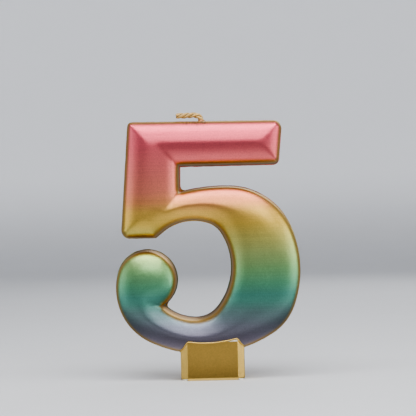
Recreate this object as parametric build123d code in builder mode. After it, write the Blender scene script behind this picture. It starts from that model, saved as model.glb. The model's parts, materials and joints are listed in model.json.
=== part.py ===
from build123d import *
from math import atan2, cos, degrees, hypot, radians, sin
import os

# Moulded wax numeral candle, digit 5. Millimetres, X right, Z up, the decorated
# front faces -Y, the back is flat. The origin is the centre of the foot's base.

# ---- driving sizes -------------------------------------------------------
DIGIT_HEIGHT = 76.8        # belly of the bowl to the top of the bar
OUTLINE = DIGIT_HEIGHT / 76.8
BELLY_Z = 7.5              # lowest point of the bowl above the table
WALL_H = 8.6               # drafted side wall, measured from the back
WALL_DRAFT = 0.35          # how far the wall leans in over that height
SHOULDER_W = 1.7           # tightly rounded shoulder above the wall
SHOULDER_H = 3.1
CROWN_W = 6.2              # gentler crown from the shoulder to the flattish middle
CROWN_H = 2.1
LIP_W = 0.25               # thin flash lip left round the back edge by the mould
LIP_H = 0.7
FILM_T = 0.12              # lacquer coat over the wax

FOOT_W = 20.6
FOOT_DEPTH = 12.9
FOOT_TOP = BELLY_Z + 6.0 * OUTLINE     # the foot block runs up into the belly
FOOT_CHAMFER = 2.2
FOOT_BASE_CHAMFER = 0.8
FOOT_CORNER_R = 0.9

WICK_D = 1.9
WICK_X = -2.1 * OUTLINE
WICK_BACK = 6.2            # wick centre, measured from the back
WICK_ABOVE = 2.05          # wax at the top of the bar to the bend of the wick
WICK_END = 8.0             # bend to the cut tip
WICK_SUNK = 10.0
BORE_CLEARANCE = 0.05
BEND_CLEARANCE = 0.15
SEAL_D = 3.6
SEAL_H = 0.6

BACK_Y = FOOT_DEPTH / 2
REACH = 15.0 * OUTLINE     # edge cutters reach past the middle of every stroke
CLEAR = 3.0                # and this far outside it
OVER = 20.0


def spot(x, z):
    """A corner of the numeral, scaled with the digit's height about its lowest point."""
    return (x * OUTLINE, BELLY_Z + (z - 9.0) * OUTLINE)


def between(a, b, share):
    return (a[0] + (b[0] - a[0]) * share, a[1] + (b[1] - a[1]) * share)


# ---- outline of the 5, seen from the front -------------------------------
TOP_LEFT = spot(-26.3, 85.95)
TOP_RIGHT = spot(24.9, 85.5)
BAR_RIGHT = spot(23.4, 70.6)
STEM_INNER = spot(-9.35, 54.6)
STEM_LEFT = spot(-29.35, 47.4)
BAR_LEFT = between(TOP_LEFT, STEM_LEFT, 0.398)
STEM_TOP = between(TOP_LEFT, TOP_RIGHT, 0.341)
NOTCH = spot(-17.6, 47.4)
ARCH_START = spot(-9.25, 62.75)
COUNTER_START = spot(-15.3, 49.26)
TOP_LEFT_R = 2.0 * OUTLINE
TOP_RIGHT_R = 3.0 * OUTLINE
BAR_RIGHT_R = 2.2 * OUTLINE
STEM_LEFT_R = 3.0 * OUTLINE

# radius and sweep of each arc, clockwise from where the bowl leaves the stem
BOWL_ARCS = ((58, 16.5), (22.5, 63), (35, 44.5), (18, 37), (41.5, 59), (19.6, 81))
BOWL_HEADING = 13.5
INTO_STEM = 20.0           # the top arc carries on inside the stem
BALL_R = 10.1
BALL_SWEEP = 195.0
# the open counter, clockwise from the notch under the stem
COUNTER_ARCS = ((15.7, 57.5), (7.7, 40.5), (20.9, 70), (9, 52.7), (15.2, 42.3))
COUNTER_HEADING = 39.0
COUNTER_OVERRUN = 70.0     # the last arc carries on inside the ball


def arc_run(start, heading, arcs):
    """Tangent arcs turning clockwise: centre, radius, first angle and sweep of each."""
    run = []
    x, z = start
    for radius, sweep in arcs:
        r = radius * OUTLINE
        a = radians(heading + 90.0)
        cx, cz = x - r * cos(a), z - r * sin(a)
        run.append(((cx, cz), r, heading + 90.0, sweep))
        heading -= sweep
        b = radians(heading + 90.0)
        x, z = cx + r * cos(b), cz + r * sin(b)
    return run, (x, z), heading


def bowl_run():
    arcs = BOWL_ARCS + ((BALL_R, BALL_SWEEP),)
    run, end, heading = arc_run(ARCH_START, BOWL_HEADING, arcs)
    return run, end


def counter_run():
    arcs = COUNTER_ARCS[:-1]
    last = COUNTER_ARCS[-1]
    arcs += ((last[0], last[1] + COUNTER_OVERRUN),)
    run, end, heading = arc_run(COUNTER_START, COUNTER_HEADING, arcs)
    return run, end


def back_plane(lift=0.0):
    return Plane.XZ.offset(lift - BACK_Y)


def edge_profile(side, skin):
    """Section of what the mould leaves out beside one edge.

    Local X runs inwards from the edge (times side), local Y forwards from the back."""
    foot = LIP_H if skin == 0 else -1.0
    wall = (side * (LIP_W + WALL_DRAFT + skin), WALL_H - skin)
    strip = (wall[0] + side * SHOULDER_W, wall[1] + SHOULDER_H)
    crown = (strip[0] + side * CROWN_W, strip[1] + CROWN_H)
    middle = (side * REACH, crown[1] + 0.3)
    with BuildSketch() as section:
        with BuildLine():
            Polyline(wall, (side * (LIP_W + skin), foot), (-side * CLEAR, foot),
                     (-side * CLEAR, OVER), (side * REACH, OVER), middle, crown)
            shoulder = TangentArc(wall, strip, tangent=(side * WALL_DRAFT, WALL_H))
            TangentArc(strip, crown, tangent=shoulder % 1)
        make_face()
    return section.sketch


def beside_line(a, b, skin):
    """Waste beside a straight edge; the wax is on the right going from a to b."""
    run = hypot(b[0] - a[0], b[1] - a[1])
    along = ((b[0] - a[0]) / run, (b[1] - a[1]) / run)
    section = Plane(origin=(b[0], BACK_Y, b[1]), x_dir=(along[1], 0, -along[0]),
                    z_dir=(-along[0], 0, -along[1]))
    with BuildPart() as waste:
        with BuildSketch(section):
            add(edge_profile(1, skin))
        extrude(amount=run)
    return waste.part


def beside_arc(arc, side, skin):
    """Waste beside an arc; side is 1 round a hole in the wax, -1 round its outside."""
    (cx, cz), radius, first, sweep = arc
    a = radians(first)
    section = Plane(origin=(cx, BACK_Y, cz), x_dir=(cos(a), 0, sin(a)),
                    z_dir=(sin(a), 0, -cos(a)))
    with BuildPart() as waste:
        with BuildSketch(section):
            with Locations((radius, 0)):
                add(edge_profile(side, skin))
            with Locations((0, -OVER)):
                Rectangle(4 * radius + 3 * OVER, 3 * OVER, align=(Align.MIN, Align.MIN),
                          mode=Mode.INTERSECT)
        revolve(axis=Axis((cx, BACK_Y, cz), (0, 1, 0)), revolution_arc=sweep)
    return waste.part


def rounded_corner(before, corner, after, radius):
    """The tangent arc that rounds a corner, and the two points where it starts and ends."""
    ax, az = before[0] - corner[0], before[1] - corner[1]
    bx, bz = after[0] - corner[0], after[1] - corner[1]
    la, lb = hypot(ax, az), hypot(bx, bz)
    ax, az, bx, bz = ax / la, az / la, bx / lb, bz / lb
    half = degrees(atan2(hypot(ax - bx, az - bz), hypot(ax + bx, az + bz)))
    back = radius / (sin(radians(half)) / cos(radians(half)))
    start = (corner[0] + ax * back, corner[1] + az * back)
    end = (corner[0] + bx * back, corner[1] + bz * back)
    centre = (start[0] - az * radius, start[1] + ax * radius)
    first = degrees(atan2(start[1] - centre[1], start[0] - centre[0]))
    return start, end, (centre, radius, first, 180.0 - 2 * half)


def draw_arc(arc):
    CenterArc(arc[0], arc[1], arc[2], -arc[3])


BAR_TL = rounded_corner(BAR_LEFT, TOP_LEFT, TOP_RIGHT, TOP_LEFT_R)
BAR_TR = rounded_corner(TOP_LEFT, TOP_RIGHT, BAR_RIGHT, TOP_RIGHT_R)
BAR_BR = rounded_corner(TOP_RIGHT, BAR_RIGHT, BAR_LEFT, BAR_RIGHT_R)
STEM_BL = rounded_corner(NOTCH, STEM_LEFT, TOP_LEFT, STEM_LEFT_R)


def make_bar(skin):
    """Top bar of the 5, with hips at both ends."""
    waste = [beside_line(BAR_TL[1], BAR_TR[0], skin),
             beside_arc(BAR_TR[2], -1, skin),
             beside_line(BAR_TR[1], BAR_BR[0], skin),
             beside_arc(BAR_BR[2], -1, skin),
             beside_line(BAR_BR[1], BAR_LEFT, skin),
             beside_line(BAR_LEFT, BAR_TL[0], skin),
             beside_arc(BAR_TL[2], -1, skin)]
    with BuildPart() as bar:
        with BuildSketch(back_plane(skin)):
            with BuildLine():
                Line(BAR_TL[1], BAR_TR[0])
                draw_arc(BAR_TR[2])
                Line(BAR_TR[1], BAR_BR[0])
                draw_arc(BAR_BR[2])
                Polyline(BAR_BR[1], BAR_LEFT, BAR_TL[0])
                draw_arc(BAR_TL[2])
            make_face()
        extrude(amount=OVER - 2)
        for piece in waste:
            add(piece, mode=Mode.SUBTRACT)
    return bar.part


def make_stem(skin):
    """Upright of the 5, from the bar down to its square end."""
    waste = [beside_line(BAR_TL[1], STEM_TOP, skin),
             beside_line(STEM_TOP, STEM_INNER, skin),
             beside_arc(counter_run()[0][0], 1, skin),
             beside_line(COUNTER_START, NOTCH, skin),
             beside_line(NOTCH, STEM_BL[0], skin),
             beside_arc(STEM_BL[2], -1, skin),
             beside_line(STEM_BL[1], BAR_TL[0], skin),
             beside_arc(BAR_TL[2], -1, skin)]
    with BuildPart() as stem:
        with BuildSketch(back_plane(skin)):
            with BuildLine():
                Line(BAR_TL[1], STEM_TOP)
                Polyline(STEM_TOP, STEM_INNER, COUNTER_START, NOTCH, STEM_BL[0])
                draw_arc(STEM_BL[2])
                Line(STEM_BL[1], BAR_TL[0])
                draw_arc(BAR_TL[2])
            make_face()
        extrude(amount=OVER - 2)
        for piece in waste:
            add(piece, mode=Mode.SUBTRACT)
    return stem.part


def make_bowl(skin):
    """Curved band of the 5; its far end is buried in the ball."""
    outside, ball_end = bowl_run()
    inside, counter_end = counter_run()
    centre, radius, first, sweep = outside[0]
    outside[0] = (centre, radius, first + INTO_STEM, sweep + INTO_STEM)
    a = radians(first + INTO_STEM)
    tail = (centre[0] + radius * cos(a), centre[1] + radius * sin(a))
    waste = [beside_arc(arc, -1, skin) for arc in outside]
    waste += [beside_arc(arc, 1, skin) for arc in inside]
    waste += [beside_line(COUNTER_START, NOTCH, skin),
              beside_line(NOTCH, STEM_BL[0], skin),
              beside_arc(STEM_BL[2], -1, skin),
              beside_line(STEM_BL[1], BAR_TL[0], skin)]
    with BuildPart() as bowl:
        with BuildSketch(back_plane(skin)):
            with BuildLine():
                for arc in outside:
                    draw_arc(arc)
                Polyline(ball_end, NOTCH, STEM_BL[0])
                draw_arc(STEM_BL[2])
                Line(STEM_BL[1], tail)
            make_face()
            with BuildLine():
                for arc in inside:
                    draw_arc(arc)
                Polyline(counter_end, NOTCH, COUNTER_START)
            make_face(mode=Mode.SUBTRACT)
        extrude(amount=OVER - 2)
        for piece in waste:
            add(piece, mode=Mode.SUBTRACT)
    return bowl.part


def make_ball(skin):
    """Domed end of the bowl."""
    centre, radius, first, sweep = bowl_run()[0][-1]
    waste = [beside_arc((centre, radius, first, 360.0), -1, skin)]
    with BuildPart() as ball:
        with BuildSketch(back_plane(skin)):
            with Locations(centre):
                Circle(radius)
        extrude(amount=OVER - 2)
        for piece in waste:
            add(piece, mode=Mode.SUBTRACT)
    return ball.part


def make_digit(skin):
    with BuildPart() as digit:
        add(make_bar(skin))
        add(make_stem(skin))
        add(make_bowl(skin))
        add(make_ball(skin))
    return digit.part


def make_foot(skin):
    """Chamfered block under the belly; with a skin it is the wax inside the lacquer."""
    half = FOOT_W / 2 - skin
    front = FOOT_DEPTH / 2 - skin
    with BuildPart() as foot:
        with BuildSketch(Plane.XZ.offset(-front)):
            with BuildLine():
                Polyline((-half, FOOT_TOP), (-half, FOOT_CORNER_R))
                RadiusArc((-half, FOOT_CORNER_R), (FOOT_CORNER_R - half, 0), -FOOT_CORNER_R)
                Line((FOOT_CORNER_R - half, 0), (half - FOOT_CORNER_R, 0))
                RadiusArc((half - FOOT_CORNER_R, 0), (half, FOOT_CORNER_R), -FOOT_CORNER_R)
                Polyline((half, FOOT_CORNER_R), (half, FOOT_TOP), (-half, FOOT_TOP))
            make_face()
        extrude(amount=2 * front)
        with BuildSketch(Plane.XY):
            with BuildLine():
                Polyline((-half, front), (half, front), (half, FOOT_CHAMFER - front),
                         (half - FOOT_CHAMFER, -front), (FOOT_CHAMFER - half, -front),
                         (-half, FOOT_CHAMFER - front), close=True)
            make_face()
        extrude(amount=FOOT_TOP, mode=Mode.INTERSECT)
        with BuildSketch(Plane.YZ.offset(-half)):
            with BuildLine():
                Polyline((front, 0), (FOOT_BASE_CHAMFER - front, 0), (-front, FOOT_BASE_CHAMFER),
                         (-front, FOOT_TOP), (front, FOOT_TOP), close=True)
            make_face()
        extrude(amount=2 * half, mode=Mode.INTERSECT)
    return foot.part


def wick_rod(diameter, low, high):
    """Upright rod on the wick's line, between two heights."""
    with BuildPart() as rod:
        with BuildSketch(Plane.XY.offset(low)):
            with Locations((WICK_X, WICK_Y)):
                Circle(diameter / 2)
        extrude(amount=high - low)
    return rod.part


WICK_Y = BACK_Y - WICK_BACK
TOP_Z = spot(0, 85.74)[1] - LIP_W - WALL_DRAFT * WICK_BACK / WALL_H
BEND_Z = TOP_Z + WICK_ABOVE
BORE_D = WICK_D + 2 * BORE_CLEARANCE

coated_digit = make_digit(0)
coated_foot = make_foot(0)
bare_digit = make_digit(FILM_T)
bare_foot = make_foot(FILM_T)
bore = wick_rod(BORE_D, TOP_Z - WICK_SUNK, BEND_Z)

with BuildPart() as digit_wax:
    add(bare_digit)
    add(bore, mode=Mode.SUBTRACT)

with BuildPart() as foot_wax:
    add(bare_foot)
    add(bare_digit, mode=Mode.SUBTRACT)

with BuildPart() as lacquer_film:
    add(coated_digit)
    add(coated_foot)
    add(bare_digit, mode=Mode.SUBTRACT)
    add(bare_foot, mode=Mode.SUBTRACT)
    add(bore, mode=Mode.SUBTRACT)

with BuildPart() as wick_root:
    add(wick_rod(WICK_D, TOP_Z - WICK_SUNK, BEND_Z))
    with Locations((WICK_X, WICK_Y, BEND_Z)):
        Sphere(WICK_D / 2)

with BuildPart() as wick_seal:
    with Locations((WICK_X, WICK_Y, TOP_Z - 0.3)):
        Cone(SEAL_D / 2, WICK_D / 2 + 0.2, SEAL_H + 0.3, align=(Align.CENTER, Align.CENTER, Align.MIN))
    add(coated_digit, mode=Mode.SUBTRACT)
    add(wick_rod(BORE_D, TOP_Z - 1.0, BEND_Z), mode=Mode.SUBTRACT)

with BuildPart() as wick_free_end:
    with BuildSketch(Plane.YZ.offset(WICK_X - WICK_END)):
        with Locations((WICK_Y, BEND_Z)):
            Circle(WICK_D / 2)
    extrude(amount=WICK_END)
    tip = wick_free_end.faces().sort_by(Axis.X)[0]
    chamfer(tip.edges(), length=0.25)
    with Locations((WICK_X, WICK_Y, BEND_Z)):
        Sphere(WICK_D / 2 + BEND_CLEARANCE, mode=Mode.SUBTRACT)
    add(wick_rod(WICK_D + 2 * BEND_CLEARANCE, BEND_Z - WICK_D, BEND_Z), mode=Mode.SUBTRACT)

digit_wax.part.label = "digit_wax"
foot_wax.part.label = "foot_wax"
lacquer_film.part.label = "lacquer_film"
wick_root.part.label = "wick_root"
wick_seal.part.label = "wick_seal"
wick_free_end.part.label = "wick_free_end"

os.makedirs("parts", exist_ok=True)
export_step(digit_wax.part, "parts/digit_wax.step")
export_step(foot_wax.part, "parts/foot_wax.step")
export_step(lacquer_film.part, "parts/lacquer_film.step")
export_step(wick_root.part, "parts/wick_root.step")
export_step(wick_seal.part, "parts/wick_seal.step")
export_step(wick_free_end.part, "parts/wick_free_end.step")
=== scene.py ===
import json
import math

import bmesh
import bpy
import numpy as np
from mathutils import Matrix, Vector
from mathutils.geometry import delaunay_2d_cdt


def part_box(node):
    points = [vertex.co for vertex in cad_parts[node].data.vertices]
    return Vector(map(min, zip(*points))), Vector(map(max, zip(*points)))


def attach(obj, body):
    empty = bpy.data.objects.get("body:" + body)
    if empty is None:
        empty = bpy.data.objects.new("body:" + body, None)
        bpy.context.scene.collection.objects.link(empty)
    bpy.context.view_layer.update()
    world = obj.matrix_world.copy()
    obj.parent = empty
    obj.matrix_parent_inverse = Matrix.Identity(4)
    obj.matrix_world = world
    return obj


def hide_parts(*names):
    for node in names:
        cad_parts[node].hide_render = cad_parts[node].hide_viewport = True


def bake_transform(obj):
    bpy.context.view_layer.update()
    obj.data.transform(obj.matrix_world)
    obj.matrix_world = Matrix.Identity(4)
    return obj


# Numeral 5 birthday candle. Outline sums are in millimetres, seen from the front
# (x right, z up, depth measured forwards from the flat back); meshes are in metres.

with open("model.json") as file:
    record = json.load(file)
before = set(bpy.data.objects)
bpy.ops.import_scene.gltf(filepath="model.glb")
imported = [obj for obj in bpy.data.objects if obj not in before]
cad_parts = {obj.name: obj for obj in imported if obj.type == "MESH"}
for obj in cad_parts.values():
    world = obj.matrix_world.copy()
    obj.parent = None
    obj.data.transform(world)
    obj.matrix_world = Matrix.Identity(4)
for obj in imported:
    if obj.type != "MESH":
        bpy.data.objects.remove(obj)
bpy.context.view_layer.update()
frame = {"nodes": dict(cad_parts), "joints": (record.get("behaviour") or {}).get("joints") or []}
MM = 0.001

# ---- sizes the looks share with the CAD part ------------------------------
BACK_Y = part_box("lacquer_film")[1].y / MM
FOOT_FRONT = -BACK_Y
LIP_W, LIP_H = 0.25, 0.7
WALL = (0.6, 8.6)            # (in from the outline, depth) where the side wall ends
STRIP = (2.3, 11.7)          # where the tight shoulder ends
CROWN = (8.5, 13.8)          # where the gentle crown ends
MIDDLE = (15.0, 14.1)
WALL_LEAN = (0.35, 8.6)
HALF_FOOT = 10.3
FOOT_CHAMFER = 2.2
FOOT_BASE_CHAMFER = 0.8
FOOT_CORNER_R = 0.9
DROP = -1.5                  # the outline's heights are written this much too high
bend = next(j for j in frame["joints"] if j["name"] == "wick_bend")["pos_m"]
BEND_X, BEND_Y, BEND_Z = (v / MM for v in bend)

rng = np.random.default_rng(5)


# ---- the outline as lines and tangent arcs --------------------------------
def arc_run(start, heading, arcs):
    """Tangent arcs turning clockwise, each (centre, radius, first angle, sweep)."""
    run = []
    point = np.array(start, float)
    for radius, sweep in arcs:
        a = math.radians(heading + 90)
        centre = point - radius * np.array((math.cos(a), math.sin(a)))
        run.append((centre, radius, heading + 90, sweep))
        heading -= sweep
        b = math.radians(heading + 90)
        point = centre + radius * np.array((math.cos(b), math.sin(b)))
    return run


def rounded(before, corner, after, radius):
    """Start, end and arc of a rounded corner."""
    a = np.subtract(before, corner)
    b = np.subtract(after, corner)
    a = a / np.hypot(*a)
    b = b / np.hypot(*b)
    half = math.atan2(np.hypot(*(a - b)), np.hypot(*(a + b)))
    back = radius / math.tan(half)
    start, end = corner + a * back, corner + b * back
    centre = start + radius * np.array((-a[1], a[0]))
    first = math.degrees(math.atan2(*(start - centre)[::-1]))
    return start, end, (centre, radius, first, 180 - 2 * math.degrees(half))


def circle_line(centre, radius, a, b):
    """The crossing of a circle and the line a-b that is nearest to b."""
    a, b = np.array(a, float), np.array(b, float)
    t = (b - a) / np.hypot(*(b - a))
    mid = a + t * np.dot(centre - a, t)
    half = math.sqrt(radius ** 2 - np.sum((mid - centre) ** 2))
    return min((mid + t * half, mid - t * half), key=lambda p: np.hypot(*(p - b)))


def circle_circle(c1, r1, c2, r2):
    """The lower crossing of two circles."""
    gap = np.hypot(*(c2 - c1))
    along = (c2 - c1) / gap
    run = (r1 ** 2 - r2 ** 2 + gap ** 2) / (2 * gap)
    side = math.sqrt(r1 ** 2 - run ** 2) * np.array((along[1], -along[0]))
    return min((c1 + along * run + side, c1 + along * run - side), key=lambda p: p[1])


def spot(x, z):
    """A corner of the numeral, with its belly set down onto the foot."""
    return np.array((x, z + DROP))


TOP_LEFT = spot(-26.3, 85.95)
TOP_RIGHT = spot(24.9, 85.5)
BAR_RIGHT = spot(23.4, 70.6)
STEM_LEFT = spot(-29.35, 47.4)
BAR_LEFT = TOP_LEFT + 0.398 * (STEM_LEFT - TOP_LEFT)
STEM_TOP = TOP_LEFT + 0.341 * (TOP_RIGHT - TOP_LEFT)
STEM_INNER = spot(-9.35, 54.6)
NOTCH = spot(-17.6, 47.4)
COUNTER_START = spot(-15.3, 49.26)
BOWL = arc_run(spot(-9.25, 62.75), 13.5, ((58, 16.5), (22.5, 63), (35, 44.5), (18, 37),
                                          (41.5, 59), (19.6, 81), (10.1, 195)))
COUNTER = arc_run(COUNTER_START, 39, ((15.7, 57.5), (7.7, 40.5), (20.9, 70), (9, 52.7),
                                      (15.2, 112.3)))
TL = rounded(BAR_LEFT, TOP_LEFT, TOP_RIGHT, 2.0)
TR = rounded(TOP_LEFT, TOP_RIGHT, BAR_RIGHT, 3.0)
BR = rounded(TOP_RIGHT, BAR_RIGHT, BAR_LEFT, 2.2)
BL = rounded(NOTCH, STEM_LEFT, TOP_LEFT, 3.0)
BALL = BOWL[-1]
INNER_SHARE = (STEM_TOP[1] - BAR_RIGHT[1]) / (STEM_TOP[1] - STEM_INNER[1])
INNER = STEM_TOP + (STEM_INNER - STEM_TOP) * INNER_SHARE
SADDLE = circle_line(BOWL[0][0], 58, STEM_TOP, STEM_INNER)
CUSP = circle_circle(BALL[0], BALL[1], COUNTER[-1][0], COUNTER[-1][1])


def angle_of(arc, point):
    """How far round its arc a point is, in degrees from the arc's start."""
    a = math.degrees(math.atan2(*(np.subtract(point, arc[0]))[::-1]))
    return (arc[2] - a) % 360


def arc_points(arc, start=0.0, end=None, side=-1):
    """Points and inward normals along an arc; side -1 where the wax is inside it."""
    centre, radius, first, sweep = arc
    end = sweep if end is None else end
    by_turn = abs(end - start) / 4.0
    by_length = radius * math.radians(end - start) / 0.42
    n = max(2, int(math.ceil(max(by_turn, by_length))))
    t = np.radians(first - np.linspace(start, end, n + 1))
    ray = np.stack((np.cos(t), np.sin(t)), 1)
    return centre + radius * ray, ray * side


def line_points(a, b):
    """Points and inward normals along a straight edge."""
    n = max(1, int(np.hypot(*np.subtract(b, a)) / 0.5))
    t = np.linspace(0, 1, n + 1)[:, None]
    along = np.subtract(b, a) / np.hypot(*np.subtract(b, a))
    return a + t * np.subtract(b, a), np.repeat([[along[1], -along[0]]], n + 1, 0)


def outline():
    """The closed outline, clockwise: points and the direction into the wax at each."""
    saddle_turn = angle_of(BOWL[0], SADDLE)
    if saddle_turn >= 180:
        saddle_turn -= 360
    stretches = [line_points(TL[1], TR[0]), arc_points(TR[2]), line_points(TR[1], BR[0]),
                 arc_points(BR[2]), line_points(BR[1], INNER), line_points(INNER, SADDLE),
                 arc_points(BOWL[0], saddle_turn)]
    stretches += [arc_points(arc) for arc in BOWL[1:-1]]
    stretches += [arc_points(BALL, 0, angle_of(BALL, CUSP))]
    last = COUNTER[-1]
    stretches += [tuple(v[::-1] for v in arc_points(last, 0, angle_of(last, CUSP), 1))]
    stretches += [tuple(v[::-1] for v in arc_points(arc, side=1)) for arc in COUNTER[-2::-1]]
    stretches += [line_points(COUNTER_START, NOTCH), line_points(NOTCH, BL[0]), arc_points(BL[2]),
                  line_points(BL[1], TL[0]), arc_points(TL[2])]
    points, normals = [], []
    for where, into in stretches:
        for p, n in zip(where, into):
            if points and np.hypot(*(p - points[-1])) < 1e-3:
                both = normals[-1] + n
                normals[-1] = both * 2 / np.dot(both, both)
                continue
            points.append(p)
            normals.append(n)
    if np.hypot(*(points[0] - points[-1])) < 1e-3:
        points.pop()
        normals.pop()
    return np.array(points), np.array(normals)


# ---- depth of the front at any point ---------------------------------------
def tangent_arc(start, lean, end):
    """Centre and radius of the arc leaving start along lean and reaching end."""
    t = np.array(lean) / np.hypot(*lean)
    n = np.array((t[1], -t[0]))
    chord = np.subtract(end, start)
    r = np.dot(chord, chord) / (2 * np.dot(n, chord))
    return np.array(start) + n * r, r


SHOULDER_C, SHOULDER_R = tangent_arc(WALL, WALL_LEAN, STRIP)
out = (np.array(STRIP) - SHOULDER_C) / SHOULDER_R
CROWN_C, CROWN_R = tangent_arc(STRIP, (out[1], -out[0]), CROWN)


def section(d):
    """Depth of the front at a distance d in from the outline."""
    d = np.asarray(d, float)
    wall = LIP_H + (d - LIP_W) / (WALL[0] - LIP_W) * (WALL[1] - LIP_H)
    shoulder = SHOULDER_C[1] + np.sqrt(np.maximum(SHOULDER_R ** 2 - (d - SHOULDER_C[0]) ** 2, 0))
    crown = CROWN_C[1] + np.sqrt(np.maximum(CROWN_R ** 2 - (d - CROWN_C[0]) ** 2, 0))
    middle = CROWN[1] + (d - CROWN[0]) / (MIDDLE[0] - CROWN[0]) * (MIDDLE[1] - CROWN[1])
    top = np.where(d < CROWN[0], crown, middle)
    return np.where(d < WALL[0], wall, np.where(d < STRIP[0], shoulder, top))


def from_line(p, a, b):
    """Distance in from a straight edge, far where the edge doesn't reach."""
    run = np.hypot(*np.subtract(b, a))
    along = np.subtract(b, a) / run
    t = (p - a) @ along
    d = (p - a) @ np.array((along[1], -along[0]))
    return np.where((t > -0.01) & (t < run + 0.01) & (d > -0.05), d, 99.0)


def from_arc(p, arc, side):
    """Distance in from an arc, far outside its sweep."""
    centre, radius, first, sweep = arc
    q = p - centre
    turn = (first - np.degrees(np.arctan2(q[:, 1], q[:, 0]))) % 360
    turn = np.where(turn > 359.9, 0, turn)
    d = side * (np.hypot(q[:, 0], q[:, 1]) - radius)
    return np.where((turn <= sweep + 0.1) & (d > -0.05), d, 99.0)


def inside(p, ring):
    """Which points are inside a closed ring."""
    result = np.zeros(len(p), bool)
    for a, b in zip(ring, np.roll(ring, -1, 0)):
        if a[1] == b[1]:
            continue
        cross = (a[1] > p[:, 1]) != (b[1] > p[:, 1])
        x = a[0] + (p[:, 1] - a[1]) / (b[1] - a[1]) * (b[0] - a[0])
        result ^= cross & (p[:, 0] < x)
    return result


def depth(p):
    """Depth of the front: the bar, stem, bowl and ball as four crowned shapes run together."""
    first = (BOWL[0][0], BOWL[0][1], BOWL[0][2] + 20, BOWL[0][3] + 20)
    bar = np.minimum.reduce([from_line(p, TL[1], TR[0]), from_arc(p, TR[2], -1),
                             from_line(p, TR[1], BR[0]), from_arc(p, BR[2], -1),
                             from_line(p, BR[1], BAR_LEFT), from_line(p, BAR_LEFT, TL[0]),
                             from_arc(p, TL[2], -1)])
    stem = np.minimum.reduce([from_line(p, TL[1], STEM_TOP), from_line(p, STEM_TOP, STEM_INNER),
                              from_arc(p, COUNTER[0], 1), from_line(p, COUNTER_START, NOTCH),
                              from_line(p, NOTCH, BL[0]), from_arc(p, BL[2], -1),
                              from_line(p, BL[1], TL[0]), from_arc(p, TL[2], -1)])
    band = np.minimum.reduce([from_arc(p, arc, -1) for arc in [first] + BOWL[1:]]
                             + [from_arc(p, arc, 1) for arc in COUNTER]
                             + [from_line(p, COUNTER_START, NOTCH), from_line(p, NOTCH, BL[0]),
                                from_arc(p, BL[2], -1), from_line(p, BL[1], TL[0])])
    ball = BALL[1] - np.hypot(*(p - BALL[0]).T)
    from_cusp = np.hypot(*(p - CUSP).T)
    round_end = np.minimum.reduce([from_arc(p, arc, -1) for arc in [first] + BOWL[1:-1]]
                                  + [from_arc(p, (*BALL[:3], angle_of(BALL, CUSP)), -1)]
                                  + [from_arc(p, arc, 1) for arc in COUNTER[:-1]]
                                  + [from_arc(p, (*COUNTER[-1][:3], angle_of(COUNTER[-1], CUSP)), 1),
                                     from_cusp])
    in_bar = inside(p, [TOP_LEFT, TOP_RIGHT, BAR_RIGHT, BAR_LEFT])
    in_stem = inside(p, [TOP_LEFT, STEM_TOP, STEM_INNER, COUNTER_START, NOTCH, STEM_LEFT])
    in_band = band_mask(p)
    end = np.maximum(np.where(in_band, section(band), 0), np.where(ball > 0, section(ball), 0))
    valley = np.clip((from_cusp - CREASE[0]) / (CREASE[1] - CREASE[0]), 0, 1)
    valley = valley * valley * (3 - 2 * valley)
    near_ball = (p[:, 0] < -8) & (p[:, 1] < 45) & inside(p, RING)
    end = np.where(near_ball, end * (1 - valley) + section(round_end) * valley, end)
    return np.maximum.reduce([np.where(in_bar, section(bar), 0), np.where(in_stem, section(stem), 0),
                              end])


def band_mask(p):
    """Which points are in the bowl and its arm, without the counter."""
    outer = np.concatenate([arc_points((BOWL[0][0], 58, BOWL[0][2] + 20, BOWL[0][3] + 20))[0]]
                           + [arc_points(arc)[0] for arc in BOWL[1:]] + [[NOTCH, STEM_LEFT, BL[1]]])
    hole = np.concatenate([arc_points(arc, side=1)[0] for arc in COUNTER] + [[NOTCH]])
    return inside(p, outer) & ~inside(p, hole)


def distance_to_ring(p, ring):
    """Shortest distance from each point to a closed ring."""
    a, b = ring, np.roll(ring, -1, 0)
    ab = b - a
    best = np.full(len(p), 1e9)
    for k in range(0, len(p), 3000):
        q = p[k:k + 3000, None, :] - a[None]
        t = np.clip((q * ab).sum(2) / (ab * ab).sum(1), 0, 1)
        best[k:k + 3000] = np.hypot(*np.moveaxis(q - t[..., None] * ab, 2, 0)).min(1)
    return best


RING, INTO = outline()
CREASE = (3.5, 9.5)      # the crease under the ball fades out over this distance from the cusp
CELL = 0.2
EASE = 0.55              # blur of the ridges, its standard deviation
GRID_X = np.arange(-32.5, 31.0, CELL)
GRID_Z = np.arange(6.0, 86.0, CELL)


def soft_depth_grid():
    """Depth on a grid with the ridges eased by about half a millimetre."""
    gx, gz = np.meshgrid(GRID_X, GRID_Z)
    p = np.stack((gx.ravel(), gz.ravel()), 1)
    h = depth(p).reshape(gx.shape)
    good = ((h > 8.0) & inside(p, RING).reshape(gx.shape)).astype(float)
    k = np.exp(-0.5 * (np.arange(-9, 10) * CELL / EASE) ** 2)
    k /= k.sum()

    def blur(v):
        for axis in (0, 1):
            v = np.apply_along_axis(lambda r: np.convolve(r, k, "same"), axis, v)
        return v
    return blur(h * good) / np.maximum(blur(good), 1e-6)


SOFT = soft_depth_grid()


def soft_depth(p):
    """The eased grid read between its cells."""
    fx = (p[:, 0] - GRID_X[0]) / CELL
    fz = (p[:, 1] - GRID_Z[0]) / CELL
    i, j = np.floor(fz).astype(int), np.floor(fx).astype(int)
    u, v = fx - j, fz - i
    return ((SOFT[i, j] * (1 - u) + SOFT[i, j + 1] * u) * (1 - v)
            + (SOFT[i + 1, j] * (1 - u) + SOFT[i + 1, j + 1] * u) * v)


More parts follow.
